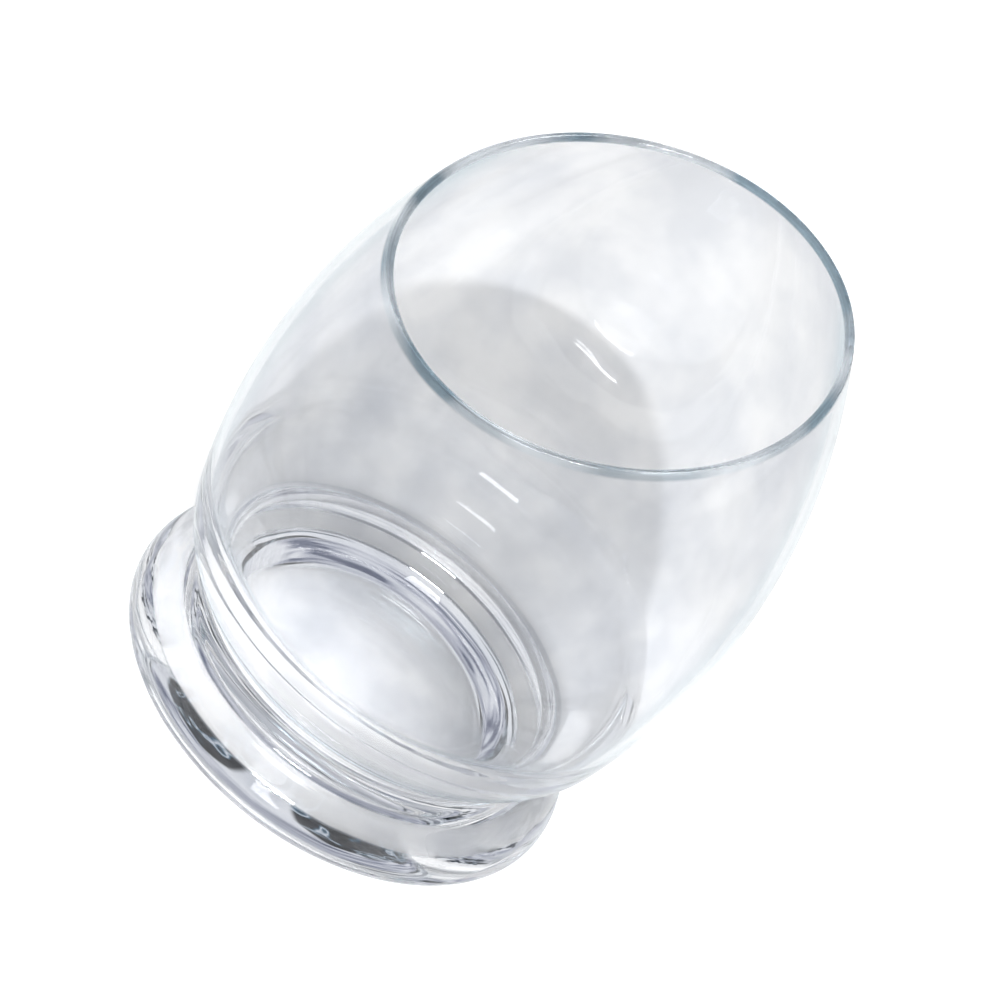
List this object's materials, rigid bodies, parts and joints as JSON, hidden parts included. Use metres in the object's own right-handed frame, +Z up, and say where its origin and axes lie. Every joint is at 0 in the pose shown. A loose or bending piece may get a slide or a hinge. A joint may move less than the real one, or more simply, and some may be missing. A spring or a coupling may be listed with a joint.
{
  "type": "brandy snifter",
  "caption": "Low-footed clear glass snifter: an egg-shaped bowl with a slanted, fire-polished rim on a short waist and a thick domed foot.",
  "frame": {"origin": "centre of the standing ring, on the plane the glass stands on", "axes": "+Z up along the glass's axis, +Y towards the high side of the slanted rim, x = 0 its mirror plane"},
  "size_m": [0.0904, 0.0904, 0.112],
  "materials": {
    "clear_glass": "clear, fire polished"
  },
  "bodies": {
    "root": {"bowl": "clear_glass", "short_stem": "clear_glass", "foot": "clear_glass"}
  },
  "joints": []
}
